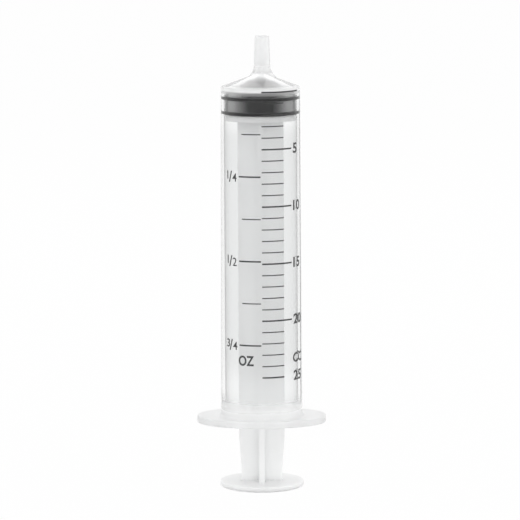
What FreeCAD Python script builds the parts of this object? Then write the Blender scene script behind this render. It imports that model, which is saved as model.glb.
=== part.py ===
"""Eccentric tip syringe: a clear barrel, a rubber gasket and a ribbed plunger rod.

Sizes are in millimetres. The plunger's axis is Z, with the tip up. The origin is the middle
of the thumb rest's underside, and the nozzle stands off the axis towards +Y.
"""
import FreeCAD, Part

import math
import os

import Sketcher

DIMENSIONS = {
    # Thumb rest and rod of the plunger
    "thumb_rest_diameter": 23.2,
    "thumb_rest_thickness": 1.45,
    "thumb_rest_lower_round": 0.6,
    "thumb_rest_upper_round": 0.35,
    "rib_span": 12.6,
    "rib_waist_span": 11.0,
    "rib_waist_height": 12.5,
    "rib_foot_round": 0.9,
    "rib_thickness": 1.5,
    "rod_length": 103.5,
    "head_plate_diameter": 19.7,
    "head_plate_thickness": 1.6,
    "neck_diameter": 9.6,
    "neck_height": 1.9,
    "knob_diameter": 12.4,
    "knob_height": 2.2,
    "knob_nose_height": 1.9,
    # Rubber gasket
    "gasket_diameter": 19.4,
    "gasket_foot": 0.5,
    "seal_ring_width": 0.9,
    "seal_ring_spacing": 4.0,
    "gasket_land": 1.65,
    "gasket_land_diameter": 19.0,
    "gasket_nose_diameter": 12.0,
    "gasket_nose_height": 3.05,
    "gasket_nose_foot": 0.25,
    # Barrel
    "bore_diameter": 20.15,
    "bore_length": 92.1,
    "wall": 0.78,
    "outer_draft": 0.24,
    "shoulder_angle": 19.85,
    "shoulder_wall": 1.3,
    "shoulder_round": 0.45,
    "mouth_flare": 0.2,
    "mouth_flare_height": 0.8,
    "stop_bead_height": 4.2,
    "stop_bead_depth": 0.14,
    "stop_bead_width": 0.8,
    "flange_length": 35.7,
    "flange_depth": 24.6,
    "flange_thickness": 1.95,
    "flange_end_radius": 9.4,
    "flange_edge_round": 0.45,
    "flange_root_round": 0.7,
    # Nozzle, an eccentric male taper
    "tip_offset": 6.0,
    "tip_side": 0.5,
    "tip_diameter": 3.95,
    "tip_length": 7.6,
    "tip_taper": 0.06,
    "tip_round": 0.2,
    "tip_rise": 1.87,
    "tip_root_radius": 5.0,
    "tip_root_height": 4.7,
    "tip_skirt": 2.5,
    "tip_back_round": 4.0,
    "tip_back_height": 2.4,
    "tip_bore_diameter": 2.0,
    "tip_bore_root_diameter": 2.7,
    "tip_funnel_diameter": 4.0,
    "tip_funnel_height": 2.4,
    # Clearances between the pieces
    "seat_gap": 0.08,
    "turning_gap": 0.06,
    "seal_gap": 0.05,
    "nose_gap": 0.83,
}

doc = FreeCAD.newDocument("syringe")
sheet = doc.addObject("Spreadsheet::Sheet", "dims")
for row, (alias, number) in enumerate(DIMENSIONS.items(), start=1):
    sheet.set(f"A{row}", alias)
    sheet.set(f"B{row}", str(number))
    sheet.setAlias(f"B{row}", alias)
doc.recompute()


class Size:
    """A length held both as an expression on the sheet and as its present value."""

    def __init__(self, text, value):
        self.text = text
        self.value = value

    def __add__(self, other):
        other = as_size(other)
        return Size(f"({self.text} + {other.text})", self.value + other.value)

    def __sub__(self, other):
        other = as_size(other)
        return Size(f"({self.text} - {other.text})", self.value - other.value)

    def __mul__(self, other):
        other = as_size(other)
        return Size(f"({self.text} * {other.text})", self.value * other.value)

    def __truediv__(self, other):
        other = as_size(other)
        return Size(f"({self.text} / {other.text})", self.value / other.value)


def as_size(number):
    """A plain number as a Size, and a Size as it is."""
    return number if isinstance(number, Size) else Size(repr(float(number)), float(number))


def dim(alias):
    """The named driving dimension."""
    return Size(f"dims.{alias}", DIMENSIONS[alias])


def root(size):
    """The square root of a size."""
    return Size(f"sqrt({size.text})", math.sqrt(size.value))


def slope(angle):
    """The rise of a line for each unit along, from its angle in degrees."""
    return Size(f"tan({angle.text} * 1 deg)", math.tan(math.radians(angle.value)))


ZERO = as_size(0)

# Levels and radii that follow from the driving dimensions
SHOULDER = slope(dim("shoulder_angle"))
BORE_RADIUS = dim("bore_diameter") / 2

HEAD_TOP = dim("rod_length")
HEAD_BASE = HEAD_TOP - dim("head_plate_thickness")

GASKET_BASE = HEAD_TOP + dim("seat_gap")
GASKET_RADIUS = dim("gasket_diameter") / 2
LAND_RADIUS = dim("gasket_land_diameter") / 2
LOWER_RING = GASKET_BASE + dim("gasket_foot")
UPPER_RING = LOWER_RING + dim("seal_ring_spacing")
LAND_TOP = UPPER_RING + dim("gasket_land")
GASKET_APEX = LAND_TOP + dim("gasket_nose_height")

INNER_APEX = GASKET_APEX + dim("nose_gap")
INNER_CORNER = INNER_APEX - BORE_RADIUS * SHOULDER
MOUTH = INNER_CORNER - dim("bore_length")
OUTER_APEX = INNER_APEX + dim("shoulder_wall")
SHOULDER_RADIUS = BORE_RADIUS + dim("wall")
SHOULDER_EDGE = OUTER_APEX - SHOULDER_RADIUS * SHOULDER
MOUTH_RADIUS = SHOULDER_RADIUS + (SHOULDER_EDGE - MOUTH) * slope(dim("outer_draft"))

TIP_FOOT = INNER_CORNER
TIP_ROOT = OUTER_APEX + dim("tip_rise")
TIP_TOP = TIP_ROOT + dim("tip_length")
TIP_RADIUS = dim("tip_diameter") / 2
TIP_ROOT_RADIUS = TIP_RADIUS + dim("tip_length") * dim("tip_taper") / 2


def new_body(label):
    """An empty body for one piece."""
    body = doc.addObject("PartDesign::Body", label)
    body.Label = label
    return body


def origin_feature(body, role):
    """One of the body's own origin planes or axes."""
    return next(f for f in body.Origin.OriginFeatures if f.Role == role)


def new_sketch(body, name, plane, offset=(ZERO, ZERO, ZERO)):
    """A sketch on an origin plane, moved by three sizes along the plane's own axes."""
    sketch = body.newObject("Sketcher::SketchObject", name)
    sketch.AttachmentSupport = (origin_feature(body, plane), "")
    sketch.MapMode = "FlatFace"
    start = FreeCAD.Vector(*(size.value for size in offset))
    sketch.AttachmentOffset = FreeCAD.Placement(start, FreeCAD.Rotation())
    for axis, size in zip("xyz", offset):
        if size is not ZERO:
            sketch.setExpression(f"AttachmentOffset.Base.{axis}", size.text)
    return sketch


def pin_point(sketch, curve, end, point):
    """Holds one end of a curve at a point given by two sizes."""
    for kind, size in zip(("DistanceX", "DistanceY"), point):
        index = sketch.addConstraint(Sketcher.Constraint(kind, -1, 1, curve, end, size.value))
        sketch.setExpression(f"Constraints[{index}]", size.text)


def arc_between(start, end, radius, side):
    """An arc of the given radius, which bulges to the left of the way from start to end if side is 1."""
    chord = end - start
    across = FreeCAD.Vector(-chord.y, chord.x, 0).normalize() * side
    depth = math.sqrt(radius**2 - (chord.Length / 2) ** 2)
    centre = (start + end) / 2 - across * depth
    circle = Part.Circle(centre, FreeCAD.Vector(0, 0, 1), radius)
    first, last = (end, start) if side > 0 else (start, end)
    angles = [math.atan2(place.y - centre.y, place.x - centre.x) for place in (first, last)]
    return Part.ArcOfCircle(circle, *angles)


def draw_outline(sketch, points, arcs=()):
    """A closed outline through the points. arcs maps the index of a side to its radius and bulge."""
    arcs = dict(arcs)
    places = [FreeCAD.Vector(across.value, up.value, 0) for across, up in points]
    for index, start in enumerate(places):
        end = places[(index + 1) % len(places)]
        if index in arcs:
            radius, side = arcs[index]
            sketch.addGeometry(arc_between(start, end, radius.value, side), False)
        else:
            sketch.addGeometry(Part.LineSegment(start, end), False)
    ends = []
    for index, start in enumerate(places):
        curve = sketch.Geometry[index]
        begins = curve.StartPoint.distanceToPoint(start) < 1e-6
        ends.append((1, 2) if begins else (2, 1))
    for index, point in enumerate(points):
        follower = (index + 1) % len(points)
        joint = Sketcher.Constraint(
            "Coincident", index, ends[index][1], follower, ends[follower][0]
        )
        sketch.addConstraint(joint)
        pin_point(sketch, index, ends[index][0], point)
    for index, (radius, _) in arcs.items():
        number = sketch.addConstraint(Sketcher.Constraint("Radius", index, radius.value))
        sketch.setExpression(f"Constraints[{number}]", radius.text)
    return sketch


def turn(body, name, sketch, kind="PartDesign::Revolution"):
    """A full turn of the sketch about its own upright axis, added or cut away."""
    feature = body.newObject(kind, name)
    feature.Profile = sketch
    feature.ReferenceAxis = (sketch, ["V_Axis"])
    feature.Angle = 360
    sketch.Visibility = False
    body.Tip = feature
    doc.recompute()
    return feature


def pad(body, name, sketch, length, midplane=False):
    """A prism on the sketch."""
    feature = body.newObject("PartDesign::Pad", name)
    feature.Profile = sketch
    feature.Midplane = midplane
    feature.setExpression("Length", length.text)
    sketch.Visibility = False
    body.Tip = feature
    doc.recompute()
    return feature


def round_edges(body, name, radius, chosen):
    """A fillet on the edges of the body so far for which chosen is true."""
    base = body.Tip
    names = [f"Edge{n}" for n, edge in enumerate(base.Shape.Edges, start=1) if chosen(edge)]
    feature = body.newObject("PartDesign::Fillet", name)
    feature.Base = (base, names)
    feature.setExpression("Radius", radius.text)
    body.Tip = feature
    doc.recompute()
    return feature


def is_circle(edge, radius, level, tolerance=0.01):
    """True for a whole circle about the plunger's axis with this radius and level."""
    curve = edge.Curve
    if not isinstance(curve, Part.Circle) or not edge.isClosed():
        return False
    on_axis = math.hypot(curve.Center.x, curve.Center.y) < tolerance
    same_size = abs(curve.Radius - radius) < tolerance
    return on_axis and same_size and abs(curve.Center.z - level) < tolerance


def at_level(edge, level, tolerance=0.001):
    """True for an edge that lies flat at this level."""
    box = edge.BoundBox
    return abs(box.ZMin - level) < tolerance and abs(box.ZMax - level) < tolerance


def make_thumb_rest(body):
    """The round disc that the thumb presses, with rounded rims."""
    radius = dim("thumb_rest_diameter") / 2
    thickness = dim("thumb_rest_thickness")
    sketch = new_sketch(body, "thumb_rest_section", "XZ_Plane")
    draw_outline(sketch, [(ZERO, ZERO), (radius, ZERO), (radius, thickness), (ZERO, thickness)])
    turn(body, "thumb_rest", sketch)
    round_edges(
        body, "thumb_rest_lower_rim", dim("thumb_rest_lower_round"),
        lambda edge: is_circle(edge, radius.value, 0),
    )
    round_edges(
        body, "thumb_rest_upper_rim", dim("thumb_rest_upper_round"),
        lambda edge: is_circle(edge, radius.value, thickness.value),
    )


def make_ribs(body):
    """Four ribs in a cross, which narrow to a waist above the thumb rest."""
    foot = dim("thumb_rest_thickness")
    foot_round = dim("rib_foot_round")
    waist = dim("rib_waist_span") / 2
    span = dim("rib_span") / 2
    waist_top = foot + dim("rib_waist_height")
    sketch = new_sketch(body, "rib_outline", "XZ_Plane")
    draw_outline(
        sketch,
        [
            (ZERO, foot), (waist + foot_round, foot), (waist, foot + foot_round),
            (span, waist_top), (span, HEAD_BASE), (ZERO, HEAD_BASE),
        ],
        {1: (foot_round, 1)},
    )
    rib = pad(body, "rib", sketch, dim("rib_thickness"), midplane=True)
    cross = body.newObject("PartDesign::PolarPattern", "rib_cross")
    cross.Originals = [rib]
    cross.Axis = (origin_feature(body, "Z_Axis"), [""])
    cross.Angle = 360
    cross.Occurrences = 4
    body.Tip = cross
    doc.recompute()


def make_head(body):
    """The plate behind the gasket, and the neck and knob that hold it."""
    plate = dim("head_plate_diameter") / 2
    neck = dim("neck_diameter") / 2
    knob = dim("knob_diameter") / 2
    neck_top = HEAD_TOP + dim("neck_height")
    knob_top = neck_top + dim("knob_height")
    nose_top = knob_top + dim("knob_nose_height")
    sketch = new_sketch(body, "head_section", "XZ_Plane")
    draw_outline(
        sketch,
        [
            (ZERO, HEAD_BASE), (plate, HEAD_BASE), (plate, HEAD_TOP), (neck, HEAD_TOP),
            (neck, neck_top), (knob, neck_top), (knob, knob_top), (ZERO, nose_top),
        ],
    )
    turn(body, "head", sketch)


def make_plunger_rod():
    """The one-piece moulded plunger rod."""
    body = new_body("plunger_rod")
    make_thumb_rest(body)
    make_ribs(body)
    make_head(body)
    return body


def make_gasket():
    """The rubber gasket: two sealing rings, a domed nose and a socket for the rod's knob."""
    body = new_body("gasket")
    half_ring = dim("seal_ring_width") / 2
    proud = BORE_RADIUS - dim("seal_gap") - GASKET_RADIUS
    ring_round = (proud * proud + half_ring * half_ring) / (proud * 2)
    nose = dim("gasket_nose_diameter") / 2
    nose_foot = LAND_TOP + dim("gasket_nose_foot")
    nose_rise = GASKET_APEX - nose_foot
    nose_round = (nose * nose + nose_rise * nose_rise) / (nose_rise * 2)
    land_base = UPPER_RING + half_ring
    sketch = new_sketch(body, "gasket_section", "XZ_Plane")
    draw_outline(
        sketch,
        [
            (ZERO, GASKET_BASE), (GASKET_RADIUS, GASKET_BASE),
            (GASKET_RADIUS, LOWER_RING - half_ring), (GASKET_RADIUS, LOWER_RING + half_ring),
            (GASKET_RADIUS, UPPER_RING - half_ring), (GASKET_RADIUS, land_base),
            (LAND_RADIUS, LAND_TOP), (nose, nose_foot), (ZERO, GASKET_APEX),
        ],
        {2: (ring_round, -1), 4: (ring_round, -1), 7: (nose_round, -1)},
    )
    turn(body, "gasket_form", sketch)

    gap = dim("turning_gap")
    neck = dim("neck_diameter") / 2 + gap
    knob = dim("knob_diameter") / 2 + gap
    neck_top = HEAD_TOP + dim("neck_height") - gap
    knob_top = neck_top + dim("knob_height") + gap * 2
    nose_top = knob_top + dim("knob_nose_height")
    socket = new_sketch(body, "socket_section", "XZ_Plane")
    draw_outline(
        socket,
        [
            (ZERO, GASKET_BASE), (neck, GASKET_BASE), (neck, neck_top), (knob, neck_top),
            (knob, knob_top), (ZERO, nose_top),
        ],
    )
    turn(body, "socket", socket, "PartDesign::Groove")
    return body


def make_tip(body):
    """The tapered tip and its flared root, rounded off at the back to stay within the shoulder."""
    place = (dim("tip_side"), ZERO, ZERO - dim("tip_offset"))
    root_radius = dim("tip_root_radius")
    root_height = dim("tip_root_height")
    root_reach = root_radius - root(root_radius * root_radius - root_height * root_height)
    flare_radius = TIP_ROOT_RADIUS + root_reach
    flare_level = TIP_ROOT - root_height
    skirt_radius = flare_radius + dim("tip_skirt")
    skirt_level = flare_level - dim("tip_skirt") * SHOULDER
    sketch = new_sketch(body, "tip_section", "XZ_Plane", place)
    draw_outline(
        sketch,
        [
            (ZERO, TIP_FOOT), (skirt_radius, TIP_FOOT), (skirt_radius, skirt_level),
            (flare_radius, flare_level), (TIP_ROOT_RADIUS, TIP_ROOT), (TIP_RADIUS, TIP_TOP),
            (ZERO, TIP_TOP),
        ],
        {3: (root_radius, 1)},
    )
    turn(body, "tip", sketch)
    round_edges(
        body, "tip_rim", dim("tip_round"),
        lambda edge: at_level(edge, TIP_TOP.value),
    )

    trim_radius = SHOULDER_RADIUS - dim("shoulder_round")
    trim_low = OUTER_APEX - trim_radius * SHOULDER
    trim_reach = dim("tip_offset") + skirt_radius + dim("tip_side")
    back_round = dim("tip_back_round")
    back_height = dim("tip_back_height")
    back_depth = back_round - root(back_round * back_round - back_height * back_height)
    trim = new_sketch(body, "tip_trim_section", "XZ_Plane")
    draw_outline(
        trim,
        [
            (trim_radius, TIP_FOOT), (trim_reach, TIP_FOOT), (trim_reach, trim_low + back_height),
            (trim_radius - back_depth, trim_low + back_height), (trim_radius, trim_low),
        ],
        {3: (back_round, 1)},
    )
    turn(body, "tip_trim", trim, "PartDesign::Groove")


def make_barrel_form(body):
    """The outside of the tube and its conical shoulder, solid for now."""
    sketch = new_sketch(body, "barrel_section", "XZ_Plane")
    draw_outline(
        sketch,
        [
            (ZERO, MOUTH), (MOUTH_RADIUS, MOUTH), (SHOULDER_RADIUS, SHOULDER_EDGE),
            (ZERO, OUTER_APEX),
        ],
    )
    turn(body, "barrel_form", sketch)
    round_edges(
        body, "shoulder_rim", dim("shoulder_round"),
        lambda edge: is_circle(edge, SHOULDER_RADIUS.value, SHOULDER_EDGE.value),
    )


def make_flange(body):
    """The oval finger flange, drawn as four arcs that meet smoothly."""
    half_length = dim("flange_length") / 2
    half_depth = dim("flange_depth") / 2
    end_radius = dim("flange_end_radius")
    end_centre = half_length - end_radius
    side_radius = (
        half_depth * half_depth + end_centre * end_centre - end_radius * end_radius
    ) / ((half_depth - end_radius) * 2)
    side_centre = side_radius - half_depth
    reach = side_radius - end_radius
    meet_x = end_centre + end_radius * end_centre / reach
    meet_y = end_radius * side_centre / reach
    minus_x = ZERO - meet_x
    minus_y = ZERO - meet_y
    sketch = new_sketch(body, "flange_outline", "XY_Plane", (ZERO, ZERO, MOUTH))
    draw_outline(
        sketch,
        [(meet_x, minus_y), (meet_x, meet_y), (minus_x, meet_y), (minus_x, minus_y)],
        {
            0: (end_radius, -1), 1: (side_radius, -1),
            2: (end_radius, -1), 3: (side_radius, -1),
        },
    )
    pad(body, "flange", sketch, dim("flange_thickness"))
    rim_levels = (MOUTH.value, (MOUTH + dim("flange_thickness")).value)
    round_edges(
        body, "flange_rim", dim("flange_edge_round"),
        lambda edge: any(at_level(edge, level) for level in rim_levels) and not edge.isClosed(),
    )
    round_edges(
        body, "flange_root", dim("flange_root_round"),
        lambda edge: edge.isClosed() and at_level(edge, rim_levels[1]),
    )


def make_bores(body):
    """The bore with its stop bead and flared mouth, and the passage through the tip."""
    bead_radius = BORE_RADIUS - dim("stop_bead_depth")
    bead_low = MOUTH + dim("stop_bead_height")
    bead_flat = dim("stop_bead_width") / 4
    bead_high = bead_low + dim("stop_bead_width")
    flare_top = MOUTH + dim("mouth_flare_height")
    bore = new_sketch(body, "bore_section", "XZ_Plane")
    draw_outline(
        bore,
        [
            (ZERO, MOUTH), (BORE_RADIUS + dim("mouth_flare"), MOUTH), (BORE_RADIUS, flare_top),
            (BORE_RADIUS, bead_low), (bead_radius, bead_low + bead_flat),
            (bead_radius, bead_high - bead_flat), (BORE_RADIUS, bead_high),
            (BORE_RADIUS, INNER_CORNER), (ZERO, INNER_APEX),
        ],
    )
    turn(body, "bore", bore, "PartDesign::Groove")

    place = (dim("tip_side"), ZERO, ZERO - dim("tip_offset"))
    funnel = dim("tip_funnel_diameter") / 2
    funnel_low = INNER_APEX - (dim("tip_offset") + funnel + dim("tip_side")) * SHOULDER
    funnel_high = INNER_APEX - dim("tip_offset") * SHOULDER + dim("tip_funnel_height")
    passage = new_sketch(body, "passage_section", "XZ_Plane", place)
    draw_outline(
        passage,
        [
            (ZERO, funnel_low), (funnel, funnel_low),
            (dim("tip_bore_root_diameter") / 2, funnel_high),
            (dim("tip_bore_diameter") / 2, TIP_TOP), (ZERO, TIP_TOP),
        ],
    )
    turn(body, "passage", passage, "PartDesign::Groove")


def make_barrel():
    """The one-piece moulded barrel: tube, shoulder, flange and tip."""
    body = new_body("barrel")
    make_tip(body)
    make_barrel_form(body)
    make_flange(body)
    make_bores(body)
    return body


pieces = [make_plunger_rod(), make_gasket(), make_barrel()]
doc.recompute()

for item in doc.Objects:
    if "Invalid" in item.State or "Error" in item.State:
        raise RuntimeError(f"{item.Label} failed: {item.State}")
for piece in pieces:
    if piece.Shape.isNull() or not piece.Shape.isValid() or len(piece.Shape.Solids) != 1:
        raise RuntimeError(f"{piece.Label} has no single valid solid")

os.makedirs("parts", exist_ok=True)
for piece in pieces:
    piece.Shape.exportStep(f"parts/{piece.Label}.step")
    box = piece.Shape.BoundBox
    print(
        f"{piece.Label}: {piece.Shape.Volume:.1f} mm3, "
        f"x {box.XMin:.2f} to {box.XMax:.2f}, y {box.YMin:.2f} to {box.YMax:.2f}, "
        f"z {box.ZMin:.2f} to {box.ZMax:.2f}"
    )
print(f"travel to the stop bead: {(HEAD_BASE - MOUTH - dim('stop_bead_height')).value:.2f}")
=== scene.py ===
"""Looks of the eccentric tip syringe: its plastics, rubber, printed scale, light and camera."""

import math

import bmesh
import bpy
from mathutils import Matrix, Vector


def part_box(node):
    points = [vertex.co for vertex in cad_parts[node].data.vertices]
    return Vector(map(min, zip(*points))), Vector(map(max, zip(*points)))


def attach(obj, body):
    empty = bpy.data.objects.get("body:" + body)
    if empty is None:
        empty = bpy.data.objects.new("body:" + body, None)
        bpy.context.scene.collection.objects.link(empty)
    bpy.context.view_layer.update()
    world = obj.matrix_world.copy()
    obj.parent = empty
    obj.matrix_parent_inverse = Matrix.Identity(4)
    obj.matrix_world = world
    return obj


MM = 0.001

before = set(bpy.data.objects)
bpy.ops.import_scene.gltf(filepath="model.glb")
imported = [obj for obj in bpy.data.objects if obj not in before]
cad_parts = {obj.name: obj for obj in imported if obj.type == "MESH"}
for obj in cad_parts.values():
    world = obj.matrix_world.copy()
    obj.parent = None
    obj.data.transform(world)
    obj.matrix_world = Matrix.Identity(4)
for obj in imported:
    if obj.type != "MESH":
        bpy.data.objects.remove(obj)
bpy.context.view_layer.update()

# The photograph's view, in a square picture
PICTURE_WIDTH = 520
FOCAL_PIXELS = 3550
CAMERA_DISTANCE = 978.2 * MM
CAMERA_ELEVATION = math.radians(7.7)
CAMERA_ROLL = math.radians(-0.25)
CAMERA_TARGET = Vector((-0.3 * MM, 0, 63.02 * MM))
CAMERA_SEES_FROM = 10 * MM
CAMERA_SEES_TO = 20
SENSOR_WIDTH = 36

# The barrel: its ends in the frame, and the sizes of its bore, wall and shoulder in the CAD source
BARREL_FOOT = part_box("barrel")[0].z
TIP_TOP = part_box("barrel")[1].z
BORE_RADIUS = 10.075 * MM
SHOULDER_RADIUS = BORE_RADIUS + 0.78 * MM
SHOULDER_LEVEL = TIP_TOP - 13.39 * MM
SHOULDER_SLOPE = math.tan(math.radians(19.85))
SHOULDER_APEX = SHOULDER_LEVEL + SHOULDER_RADIUS * SHOULDER_SLOPE
OUTER_SLOPE = math.tan(math.radians(0.24))

# The gasket's sealing rings, and the flat band that each presses on the bore
LOWER_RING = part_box("gasket")[0].z + 0.5 * MM
UPPER_RING = LOWER_RING + 4 * MM
RING_LEVELS = {"seal_contact_lower": LOWER_RING, "seal_contact_upper": UPPER_RING}
BAND_HALF_HEIGHT = 0.5 * MM
BAND_HALF_FLAT = 0.38 * MM
BAND_DEPTH = 0.12 * MM
BAND_SQUEEZE = 0.01 * MM
BAND_STEPS = 96

# The printed scale, in millilitres on the right and eighths of an ounce on the left
ZERO_LEVEL = SHOULDER_LEVEL - 0.64 * MM
ZERO_LINE_DROP = 0.14 * MM
ONE_MILLILITRE = 3.136 * MM
LAST_MILLILITRE = 25
ONE_EIGHTH = 29.57 / 8 * ONE_MILLILITRE
LAST_EIGHTH = 6
THIN_LINE = 0.3 * MM
BOLD_LINE = 0.42 * MM
LINE_STEP = 0.35 * MM
INK_PROUD = 0.02 * MM
INK_SUNK = 0.012 * MM

# The printed lines' ends, in metres round the barrel from its front
RIGHT_LINE_START = 0.25 * MM
RIGHT_LINE_END = 6.6 * MM
RIGHT_LONG_END = 9.45 * MM
ZERO_LINE_END = 12.6 * MM
LEFT_LINE_END = -0.05 * MM
LEFT_LINE_START = -5.4 * MM
LEFT_LONG_START = -6.3 * MM

# The printed figures' heights, the numerals' left edge and width, and how far strokes are thickened
TALL_FIGURE = 2.85 * MM
SMALL_FIGURE = 2.3 * MM
FRACTION_BAR = 3.1 * MM
NUMERAL_START = 10.2 * MM
NUMERAL_STRETCH = 1.15
BOLD_STROKE = 0.025
FINE_STROKE = 0.015
FINEST_STROKE = 0.005

# Colours. A material runs between the two colours of a pair.
# The clear plastic's grey and white. The curve between them along the height is partly painted light and
# shade.
CLEAR_COLOURS = ((0.86, 0.865, 0.865), (0.975, 0.98, 0.98))
# The dark grey of the bore's inner edge, painted shade blended into the clear plastic's colour
PAINTED_BORE_SHADE_COLOUR = (0.03, 0.03, 0.03)
# The rod's colours at its foot, and lighter ones inside the barrel: painted light that makes up for the
# light the tube's wall holds back
ROD_FOOT_COLOURS = ((0.86, 0.865, 0.865), (0.88, 0.885, 0.885))
ROD_PAINTED_LIGHTER_COLOURS = ((0.96, 0.965, 0.965), (0.98, 0.985, 0.985))
RUBBER_COLOURS = ((0.01, 0.01, 0.01), (0.025, 0.025, 0.026))
# The grey of the rubber's painted sheen, standing for soft side light
PAINTED_SHEEN_COLOUR = (0.36, 0.36, 0.36)
INK_COLOURS = ((0.02, 0.02, 0.02), (0.06, 0.06, 0.06))

# Both plastics are polypropylene
PLASTIC_IOR = 1.49

# The light from all round, on the surfaces and in reflections, and the floor's white
EVEN_LIGHT = 0.79
MIRRORED_LIGHT = 0.9
FLOOR_WHITE = 0.97
FLOOR_REACH = 3.0
FLOOR_DROP = 0.02 * MM

# The soft lamps: azimuth and elevation in degrees, and power in watts
LAMP_DISTANCE = 0.9
LAMP_SIZE = (0.6, 0.5)
LAMPS = {
    "front_softbox": (6, 27, 1.38),
    "right_softbox": (90, 27, 1.35),
    "back_softbox": (180, 41, 1.23),
    "left_softbox": (270, 27, 1.1),
}


def empty_tree(owner):
    """The node tree of a material or the world, with nothing in it."""
    owner.use_nodes = True
    owner.node_tree.nodes.clear()
    return owner.node_tree


class Shader:
    """A material's node tree with short ways to add and join nodes."""

    def __init__(self, name):
        self.material = bpy.data.materials.new(name)
        self.tree = empty_tree(self.material)
        self.output = self.add("ShaderNodeOutputMaterial")
        self.surface = self.add("ShaderNodeBsdfPrincipled")
        self.join(self.surface, "BSDF", self.output, "Surface")

    def add(self, kind, **settings):
        """A node with some of its settings or input values changed."""
        node = self.tree.nodes.new(kind)
        for name, value in settings.items():
            if hasattr(node, name):
                setattr(node, name, value)
            else:
                node.inputs[name.replace("_", " ")].default_value = value
        return node

    def join(self, source, out, target, into):
        """A link from one node's output to another's input."""
        self.tree.links.new(source.outputs[out], target.inputs[into])

    def same_all_over(self, **values):
        """Sets values on the surface's own sockets."""
        for name, value in values.items():
            self.surface.inputs[name.replace("_", " ")].default_value = value

    def place(self):
        """The point on the surface, in metres in the shared frame at rest."""
        found = self.tree.nodes.get("place")
        if found is None:
            found = self.add("ShaderNodeTexCoord")
            found.name = "place"
        return found

    def noise(self, scale, detail=2.0, stretch=(1, 1, 1)):
        """Noise with its scale in features per metre. A stretch under 1 draws it out along that axis."""
        spread = self.add("ShaderNodeMapping")
        spread.inputs["Scale"].default_value = stretch
        self.join(self.place(), "Object", spread, "Vector")
        pattern = self.add("ShaderNodeTexNoise", Scale=scale, Detail=detail)
        self.join(spread, "Vector", pattern, "Vector")
        return pattern

    def ramp(self, source, out, low, high, start=0.0, end=1.0):
        """A value that runs from low to high as the source runs from start to end."""
        node = self.add("ShaderNodeMapRange", From_Min=start, From_Max=end, To_Min=low, To_Max=high)
        self.join(source, out, node, "Value")
        return node

    def curve(self, source, out, stops):
        """A value along a curve over another value, from pairs of the two."""
        node = self.add("ShaderNodeValToRGB")
        marks = node.color_ramp.elements
        while len(marks) < len(stops):
            marks.new(1)
        for mark, (position, value) in zip(marks, stops):
            mark.position = position
            mark.color = (value, value, value, 1)
        self.join(source, out, node, "Fac")
        return node

    def radius(self):
        """The distance from the plunger's axis, in metres."""
        flat = self.add("ShaderNodeVectorMath", operation="MULTIPLY")
        flat.inputs[1].default_value = (1, 1, 0)
        self.join(self.place(), "Object", flat, 0)
        length = self.add("ShaderNodeVectorMath", operation="LENGTH")
        self.join(flat, "Vector", length, 0)
        return length

    def height(self):
        """The point on the surface, taken apart. Its Z output is the height above the table."""
        parts = self.add("ShaderNodeSeparateXYZ")
        self.join(self.place(), "Object", parts, "Vector")
        return parts

    def by_height(self, stops):
        """A value that depends on the height, from pairs of a level in millimetres and a value."""
        share = self.ramp(self.height(), "Z", 0, 1, BARREL_FOOT, TIP_TOP)
        barrel_length = TIP_TOP - BARREL_FOOT
        return self.curve(share, "Result", [
            ((level * MM - BARREL_FOOT) / barrel_length, value) for level, value in stops
        ])

    def math(self, operation, *inputs):
        """A sum, a product or the larger of two values, each a node and its output's name."""
        node = self.add("ShaderNodeMath", operation=operation)
        for index, (source, out) in enumerate(inputs):
            self.join(source, out, node, index)
        return node

    def bump(self, source, out, height, strength):
        """Adds small relief to the surface. height is in metres."""
        node = self.add("ShaderNodeBump", Strength=strength, Distance=height)
        self.join(source, out, node, "Height")
        self.join(node, "Normal", self.surface, "Normal")


def colour_output(node):
    """The colour output of a Mix node."""
    return next(out for out in node.outputs if out.type == "RGBA")


def colour_inputs(node):
    """The two colour inputs of a Mix node."""
    return [into for into in node.inputs if into.type == "RGBA"]


def blend(shader, source, out, *colours):
    """A colour that runs between two colours with a value. Each of the two is plain or another blend."""
    node = shader.add("ShaderNodeMix", data_type="RGBA")
    for into, colour in zip(colour_inputs(node), colours):
        if isinstance(colour, tuple):
            into.default_value = (*colour, 1)
        else:
            shader.tree.links.new(colour_output(colour), into)
    shader.join(source, out, node, 0)
    return node


def tint_surface(shader, colour):
    """Gives the surface a blend as its colour."""
    shader.tree.links.new(colour_output(colour), shader.surface.inputs["Base Color"])


def on_bore(shader):
    """1 on the tube's inside and 0 on its outside."""
    near = shader.ramp(shader.radius(), "Value", 1, 0, BORE_RADIUS + 0.2 * MM, BORE_RADIUS + 0.4 * MM)
    below = shader.by_height([(110.2, 1), (110.6, 0)])
    return shader.math("MULTIPLY", (near, "Result"), (below, "Color"))


def inside_shoulder(shader):
    """1 on the shoulder's inner cone and 0 on its outside, which is a wall further out."""
    drop = shader.ramp(shader.radius(), "Value", 0, SHOULDER_SLOPE)
    apex = shader.math("ADD", (shader.height(), "Z"), (drop, "Result"))
    near = shader.ramp(apex, "Value", 1, 0, SHOULDER_APEX - 0.9 * MM, SHOULDER_APEX - 0.5 * MM)
    above = shader.by_height([(110.2, 0), (110.6, 1)])
    return shader.math("MULTIPLY", (near, "Result"), (above, "Color"))


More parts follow.
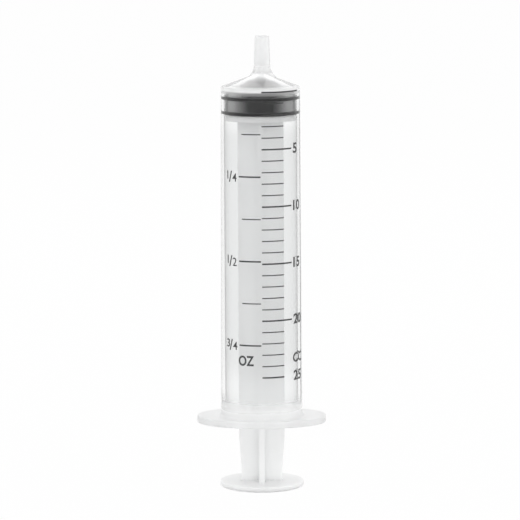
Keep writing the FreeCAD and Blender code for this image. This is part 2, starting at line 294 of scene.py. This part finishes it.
def bore_line(shader, bore):
    """How nearly the line of sight skims the bore, where a clear tube shows its dark inner edge. This edge
    is painted shade, a dark grey blended into the plastic's colour.
    """
    edge = shader.add("ShaderNodeFresnel", IOR=PLASTIC_IOR)
    skimming = shader.ramp(edge, "Fac", 0, 1, 0.04, 0.4)
    short_of_mirror = shader.ramp(edge, "Fac", 1, 0.15, 0.95, 1.0)
    side = shader.add("ShaderNodeNewGeometry")
    path = shader.add("ShaderNodeLightPath")
    straight = shader.ramp(path, "Diffuse Depth", 1, 0)
    in_tube = shader.by_height([(22.9, 0), (23.5, 1), (108.5, 1), (109.5, 0)])
    line = shader.math("MULTIPLY", (skimming, "Result"), (short_of_mirror, "Result"))
    for factor, out in ((side, "Backfacing"), (straight, "Result"), (bore, "Value"), (in_tube, "Color")):
        line = shader.math("MULTIPLY", (line, "Value"), (factor, out))
    return line


def clearness(shader, bore):
    """The share of light that passes: all on the inside, and less on the outside where it is frosted."""
    outside = shader.by_height([
        (19.9, 0.4), (20.8, 0.25), (22.0, 0.25), (23.5, 0.6), (25.0, 0.93), (27.0, 0.99),
        (108.95, 0.99), (109.1, 0.8), (109.9, 0.74), (110.1, 0.15), (110.95, 0.15), (111.35, 0.78),
        (112.2, 0.78), (112.9, 0.77), (113.5, 0.45), (114.2, 0.3), (116.5, 0.35), (118.5, 0.6),
    ])
    inner = shader.math("MAXIMUM", (bore, "Value"), (inside_shoulder(shader), "Value"))
    side = shader.add("ShaderNodeNewGeometry")
    polished = shader.math("MAXIMUM", (inner, "Value"), (side, "Backfacing"))
    return shader.math("MAXIMUM", (outside, "Color"), (polished, "Value"))


def frosting(shader):
    """The roughness: smooth in the tube and matt on the flange, the shoulder's edge and the tip."""
    frost = shader.by_height([
        (20.4, 0.3), (24.0, 0.2), (27.0, 0.03), (108.95, 0.03), (109.5, 0.2), (110.6, 0.2), (111.4, 0.08),
        (113.2, 0.08), (115.0, 0.2), (117.0, 0.3),
    ])
    flow = shader.noise(260, detail=3, stretch=(1, 1, 0.12))
    haze = shader.ramp(flow, "Fac", 0.0, 0.03)
    return shader.math("ADD", (frost, "Color"), (haze, "Result"))


def whiteness(shader):
    """0 where the plastic is grey and 1 where it is white. It is partly the plastic's own tint and partly
    painted light and shade: the lighter bands above the flange (23 to 28 mm) and below the gasket (101.5
    to 111.1 mm) lift the rod seen through the tube, and the grey on the shoulder (111.5 to 113 mm) is
    painted shade over the gasket's dome.
    """
    return shader.by_height([
        (19.6, 0.5), (19.8, 0.1), (20.4, 0.5), (23.0, 0.9), (28.0, 0.9), (35.0, 0.42), (97.0, 0.42),
        (101.5, 1), (111.1, 1), (111.5, 0.05), (113.0, 0.2), (114.0, 1),
    ])


def let_lamps_through(shader, source, out):
    """Lets a share of the lamps' light reach what lies behind the plastic."""
    passing = shader.add("ShaderNodeBsdfTransparent")
    shader.join(source, out, passing, "Color")
    path = shader.add("ShaderNodeLightPath")
    both = shader.add("ShaderNodeMixShader")
    shader.join(path, "Is Shadow Ray", both, 0)
    shader.join(shader.surface, "BSDF", both, 1)
    shader.join(passing, "BSDF", both, 2)
    shader.join(both, "Shader", shader.output, "Surface")


def clear_plastic():
    """Polypropylene, clear in the tube, and frosted outside on the flange, the shoulder and the tip."""
    shader = Shader("clear_polypropylene")
    shader.same_all_over(
        IOR=PLASTIC_IOR, Specular_Tint=(0.3, 0.3, 0.3, 1),
        Subsurface_Weight=0.5, Subsurface_Scale=0.4 * MM, Subsurface_Radius=(1, 1, 1),
    )
    bore = on_bore(shader)
    clear = clearness(shader, bore)
    shader.join(clear, "Value", shader.surface, "Transmission Weight")
    shader.join(frosting(shader), "Value", shader.surface, "Roughness")
    # The plastic's tint along its height, partly painted light and shade over the rod and the gasket's
    # dome
    plastic = blend(shader, whiteness(shader), "Color", *CLEAR_COLOURS)
    # Painted shade: the bore's dark inner edge, blended into the plastic's colour where the view skims the
    # bore
    line = bore_line(shader, bore)
    tint_surface(shader, blend(shader, line, "Value", plastic, PAINTED_BORE_SHADE_COLOUR))
    let_lamps_through(shader, clear, "Value")
    return shader.material


def milky_plastic():
    """Milky polypropylene of the plunger rod, a shade greyer towards its foot. Its lighter colour inside
    the barrel is painted light, which makes up for the light that the tube's wall holds back.
    """
    shader = Shader("milky_polypropylene")
    shader.same_all_over(
        IOR=PLASTIC_IOR, Subsurface_Weight=0.9, Subsurface_Scale=3 * MM, Subsurface_Radius=(1, 1, 1),
    )
    flow = shader.noise(180, detail=3, stretch=(1, 1, 0.15))
    foot = blend(shader, flow, "Fac", *ROD_FOOT_COLOURS)
    upper = blend(shader, flow, "Fac", *ROD_PAINTED_LIGHTER_COLOURS)
    # Painted light: the rod runs from its greyer foot to a lighter colour inside the barrel
    painted_light_in_barrel = shader.by_height([(17.9, 0), (42.0, 1)])
    tint_surface(shader, blend(shader, painted_light_in_barrel, "Color", foot, upper))
    grain = shader.noise(2400)
    rough = shader.ramp(grain, "Fac", 0.3, 0.42)
    shader.join(rough, "Result", shader.surface, "Roughness")
    shader.bump(grain, "Fac", 0.01 * MM, 0.4)
    return shader.material


def gasket_rubber(name, sheen=1.0):
    """Matt black rubber with a fine grain, and a painted sheen: a grey blended into its colour where the
    surface turns away from the view, standing for soft side light. It is weaker on the dome, and the sheen
    argument scales it for where air lies over the rubber.
    """
    shader = Shader(name)
    shader.same_all_over(Specular_IOR_Level=0.15)
    grain = shader.noise(3000, detail=3)
    black = blend(shader, grain, "Fac", *RUBBER_COLOURS)
    # Painted sheen: a grey in the colour that grows as the surface turns away from the view, and is weaker
    # on the dome
    side = shader.add("ShaderNodeLayerWeight", Blend=0.5)
    turned_away = shader.curve(side, "Facing", (
        (0.06, 0), (0.2, 0.5 * sheen), (0.35, 0.95 * sheen), (0.55, sheen), (0.65, 0.3 * sheen),
        (0.95, 0.1 * sheen),
    ))
    below_dome = shader.by_height([(109.6, 1), (109.9, 0.45)])
    painted_sheen_share = shader.math("MULTIPLY", (turned_away, "Color"), (below_dome, "Color"))
    tint_surface(shader, blend(shader, painted_sheen_share, "Value", black, PAINTED_SHEEN_COLOUR))
    rough = shader.ramp(grain, "Fac", 0.38, 0.5)
    shader.join(rough, "Result", shader.surface, "Roughness")
    shader.bump(grain, "Fac", 0.02 * MM, 0.3)
    return shader.material


def scale_ink():
    """Black printing ink, slightly uneven as it lies on plastic."""
    shader = Shader("scale_ink")
    patches = shader.noise(4000, detail=3)
    tint_surface(shader, blend(shader, patches, "Fac", *INK_COLOURS))
    rough = shader.ramp(patches, "Fac", 0.45, 0.6)
    shader.join(rough, "Result", shader.surface, "Roughness")
    return shader.material


def outer_radius(level):
    """The barrel's outer radius at a height above the table."""
    return SHOULDER_RADIUS + (SHOULDER_LEVEL - level) * OUTER_SLOPE


def wrapped(across, level, proud):
    """The point on the barrel at a distance round it from the front, and a height, with some relief."""
    radius = outer_radius(level)
    angle = across / radius
    reach = radius + proud
    return Vector((reach * math.sin(angle), -reach * math.cos(angle), level))


def piece_from(name, mesh, material, body):
    """An object from a mesh, with its material, riding on a body."""
    piece = bpy.data.objects.new(name, mesh)
    bpy.context.scene.collection.objects.link(piece)
    piece.data.materials.clear()
    piece.data.materials.append(material)
    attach(piece, body)


def mesh_from(work, name):
    """A mesh from finished bmesh work, with its faces turned outwards."""
    bmesh.ops.recalc_face_normals(work, faces=work.faces)
    mesh = bpy.data.meshes.new(name)
    work.to_mesh(mesh)
    work.free()
    return mesh


def make_seal_contacts(rubber):
    """The bands where the rubber is pressed flat against the bore, which the rigid rings can't show."""
    inner, pressed = BORE_RADIUS - BAND_DEPTH, BORE_RADIUS + BAND_SQUEEZE
    profile = (
        (-BAND_HALF_HEIGHT, inner), (-BAND_HALF_FLAT, pressed),
        (BAND_HALF_FLAT, pressed), (BAND_HALF_HEIGHT, inner),
    )
    for name, level in RING_LEVELS.items():
        work = bmesh.new()
        rings = []
        for step in range(BAND_STEPS):
            angle = math.tau * step / BAND_STEPS
            across, along = math.cos(angle), math.sin(angle)
            rings.append([
                work.verts.new((radius * across, radius * along, level + rise)) for rise, radius in profile
            ])
        for index, ring in enumerate(rings):
            follower = rings[(index + 1) % BAND_STEPS]
            for low in range(len(profile)):
                high = (low + 1) % len(profile)
                work.faces.new((ring[low], follower[low], follower[high], ring[high]))
        piece_from(name, mesh_from(work, name), rubber, "seal")


def add_line(work, left, right, level, height):
    """A printed line as a thin closed strip. left and right are distances round the barrel."""
    count = max(2, math.ceil((right - left) / LINE_STEP))
    low, high = level - height / 2, level + height / 2
    corners = ((low, INK_PROUD), (high, INK_PROUD), (high, -INK_SUNK), (low, -INK_SUNK))
    rings = []
    for index in range(count + 1):
        across = left + (right - left) * index / count
        rings.append([work.verts.new(wrapped(across, *corner)) for corner in corners])
    for before, after in zip(rings, rings[1:]):
        for side in range(len(corners)):
            follower = (side + 1) % len(corners)
            work.faces.new((before[side], after[side], after[follower], before[follower]))
    work.faces.new(rings[0])
    work.faces.new(list(reversed(rings[-1])))


def make_right_lines(ink):
    """The scale in millilitres. Every fifth line is bold, and all but the last reach to their numeral."""
    work = bmesh.new()
    add_line(work, RIGHT_LINE_START, ZERO_LINE_END, ZERO_LEVEL - ZERO_LINE_DROP, BOLD_LINE)
    for number in range(1, LAST_MILLILITRE + 1):
        bold = number % 5 == 0
        end = RIGHT_LONG_END if bold and number < LAST_MILLILITRE else RIGHT_LINE_END
        level = ZERO_LEVEL - number * ONE_MILLILITRE
        add_line(work, RIGHT_LINE_START, end, level, BOLD_LINE if bold else THIN_LINE)
    piece_from("scale_lines_right", mesh_from(work, "scale_lines_right"), ink, "barrel")


def make_left_lines(ink):
    """The scale in eighths of an ounce. Every second line is long and bold."""
    work = bmesh.new()
    for eighth in range(1, LAST_EIGHTH + 1):
        bold = eighth % 2 == 0
        start = LEFT_LONG_START if bold else LEFT_LINE_START
        level = ZERO_LEVEL - eighth * ONE_EIGHTH
        add_line(work, start, LEFT_LINE_END, level, BOLD_LINE if bold else THIN_LINE)
    piece_from("scale_lines_left", mesh_from(work, "scale_lines_left"), ink, "barrel")


def printed_text(name, text, left, level, height, stretch, ink, weight=BOLD_STROKE):
    """Generic numerals or letters, set by Blender's own font and wrapped round the barrel."""
    curve = bpy.data.curves.new(name, "FONT")
    curve.body = text
    curve.align_x = "CENTER"
    curve.align_y = "CENTER"
    curve.resolution_u = 6
    curve.extrude = 0.5
    curve.offset = weight
    made = bpy.data.objects.new(name, curve)
    bpy.context.scene.collection.objects.link(made)
    bpy.context.view_layer.update()
    mesh = bpy.data.meshes.new_from_object(made)
    bpy.data.objects.remove(made)
    low_x = min(vertex.co.x for vertex in mesh.vertices)
    ys = [vertex.co.y for vertex in mesh.vertices]
    middle_y = (min(ys) + max(ys)) / 2
    scale = height / (max(ys) - min(ys))
    for vertex in mesh.vertices:
        x, y, z = vertex.co
        proud = INK_PROUD if z > 0 else -INK_SUNK
        vertex.co = wrapped(left + (x - low_x) * scale * stretch, level + (y - middle_y) * scale, proud)
    mesh.name = name
    piece_from(name, mesh, ink, "barrel")


def make_numerals(ink):
    """The numbers and unit letters beside the scales."""
    for number in (5, 10, 15, 20, 25):
        level = ZERO_LEVEL - number * ONE_MILLILITRE
        name = f"numeral_{number}"
        printed_text(name, str(number), NUMERAL_START, level, TALL_FIGURE, NUMERAL_STRETCH, ink)
    for name, top, bottom, eighth, left in (
        ("quarter", "1", "4", 2, -10.7 * MM),
        ("half", "1", "2", 4, -10.7 * MM),
        ("three_quarters", "3", "4", 6, -11.1 * MM),
    ):
        level = ZERO_LEVEL - eighth * ONE_EIGHTH
        for part, text, start, middle, height, stroke in (
            ("top", top, left, level + 0.3 * MM, SMALL_FIGURE, FINE_STROKE),
            ("bar", "/", -10.0 * MM, level - 0.1 * MM, FRACTION_BAR, FINE_STROKE),
            ("bottom", bottom, -8.6 * MM, level - 0.3 * MM, SMALL_FIGURE, FINEST_STROKE),
        ):
            printed_text(f"{name}_{part}", text, start, middle, height, 1.0, ink, stroke)
    printed_text("unit_left", "OZ", -6.6 * MM, 36.55 * MM, TALL_FIGURE, 0.8, ink)
    printed_text("unit_right", "CC", 9.9 * MM, 36.9 * MM, 2.7 * MM, 1.05, ink)


def floor_material():
    """White to the camera and in reflections, and matt to the light, so that it keeps a faint shadow."""
    material = bpy.data.materials.new("floor_white")
    tree = empty_tree(material)
    matt = tree.nodes.new("ShaderNodeBsdfDiffuse")
    matt.inputs["Color"].default_value = (0.8, 0.8, 0.8, 1)
    glow = tree.nodes.new("ShaderNodeEmission")
    path = tree.nodes.new("ShaderNodeLightPath")
    seen = path.outputs["Is Camera Ray"]
    for kind in ("Is Glossy Ray", "Is Transmission Ray"):
        either = tree.nodes.new("ShaderNodeMath")
        either.operation = "MAXIMUM"
        tree.links.new(seen, either.inputs[0])
        tree.links.new(path.outputs[kind], either.inputs[1])
        seen = either.outputs["Value"]
    share = tree.nodes.new("ShaderNodeMath")
    share.operation = "MULTIPLY"
    share.inputs[1].default_value = FLOOR_WHITE
    tree.links.new(seen, share.inputs[0])
    mix = tree.nodes.new("ShaderNodeMixShader")
    tree.links.new(share.outputs["Value"], mix.inputs["Fac"])
    tree.links.new(matt.outputs["BSDF"], mix.inputs[1])
    tree.links.new(glow.outputs["Emission"], mix.inputs[2])
    output = tree.nodes.new("ShaderNodeOutputMaterial")
    tree.links.new(mix.outputs["Shader"], output.inputs["Surface"])
    return material


def make_floor():
    """A plain white floor, just under the thumb rest."""
    work = bmesh.new()
    bmesh.ops.create_grid(work, x_segments=8, y_segments=8, size=FLOOR_REACH)
    floor = bpy.data.objects.new("floor", mesh_from(work, "floor"))
    floor.location.z = -FLOOR_DROP
    floor.data.materials.append(floor_material())
    bpy.context.scene.collection.objects.link(floor)


def make_world():
    """Even light from all round, and white where the camera or clear plastic looks past the object."""
    world = bpy.data.worlds.new("studio")
    tree = empty_tree(world)
    path = tree.nodes.new("ShaderNodeLightPath")
    reflected = tree.nodes.new("ShaderNodeMapRange")
    reflected.inputs["To Min"].default_value = 1.0
    reflected.inputs["To Max"].default_value = MIRRORED_LIGHT
    tree.links.new(path.outputs["Glossy Depth"], reflected.inputs["Value"])
    strength = tree.nodes.new("ShaderNodeMix")
    strength.inputs["B"].default_value = EVEN_LIGHT
    tree.links.new(path.outputs["Is Diffuse Ray"], strength.inputs["Factor"])
    tree.links.new(reflected.outputs["Result"], strength.inputs["A"])
    shade = tree.nodes.new("ShaderNodeBackground")
    shade.inputs["Color"].default_value = (1, 1, 1, 1)
    tree.links.new(strength.outputs["Result"], shade.inputs["Strength"])
    output = tree.nodes.new("ShaderNodeOutputWorld")
    tree.links.new(shade.outputs["Background"], output.inputs["Surface"])
    bpy.context.scene.world = world


def make_lamp(name, azimuth, elevation, power):
    """A soft rectangular lamp that faces the middle of the syringe."""
    data = bpy.data.lights.new(name, "AREA")
    data.shape = "RECTANGLE"
    data.size, data.size_y = LAMP_SIZE
    data.energy = power
    lamp = bpy.data.objects.new(name, data)
    bpy.context.scene.collection.objects.link(lamp)
    turn, rise = math.radians(azimuth), math.radians(elevation)
    away = Vector((math.sin(turn) * math.cos(rise), -math.cos(turn) * math.cos(rise), math.sin(rise)))
    lamp.location = CAMERA_TARGET + away * LAMP_DISTANCE
    lamp.rotation_mode = "QUATERNION"
    lamp.rotation_quaternion = (-away).to_track_quat("-Z", "Y")
    lamp.visible_camera = False
    lamp.visible_transmission = False


def make_camera():
    """The photograph's camera."""
    data = bpy.data.cameras.new("photo_camera")
    data.sensor_width = SENSOR_WIDTH
    data.lens = FOCAL_PIXELS / PICTURE_WIDTH * SENSOR_WIDTH
    data.clip_start = CAMERA_SEES_FROM
    data.clip_end = CAMERA_SEES_TO
    camera = bpy.data.objects.new("photo_camera", data)
    bpy.context.scene.collection.objects.link(camera)
    forward = Vector((0, math.cos(CAMERA_ELEVATION), -math.sin(CAMERA_ELEVATION)))
    stand = Matrix.Translation(CAMERA_TARGET - forward * CAMERA_DISTANCE)
    turned = forward.to_track_quat("-Z", "Y").to_matrix().to_4x4()
    roll = Matrix.Rotation(CAMERA_ROLL, 4, "Z")
    camera.matrix_world = stand @ turned @ roll
    bpy.context.scene.camera = camera


bpy.context.scene.view_settings.view_transform = "Standard"

NODE_LOOKS = {
    "barrel": clear_plastic(),
    "plunger_rod": milky_plastic(),
    "gasket": gasket_rubber("gasket_rubber"),
}
# The pressed bands carry 0.35 of the gasket's painted sheen
PRESSED_RUBBER = gasket_rubber("pressed_rubber", sheen=0.35)
INK = scale_ink()
for node, look in NODE_LOOKS.items():
    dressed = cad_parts[node].data.materials
    dressed.clear()
    dressed.append(look)

make_seal_contacts(PRESSED_RUBBER)
make_right_lines(INK)
make_left_lines(INK)
make_numerals(INK)
make_floor()
make_world()
for lamp_name, lamp_settings in LAMPS.items():
    make_lamp(lamp_name, *lamp_settings)
make_camera()
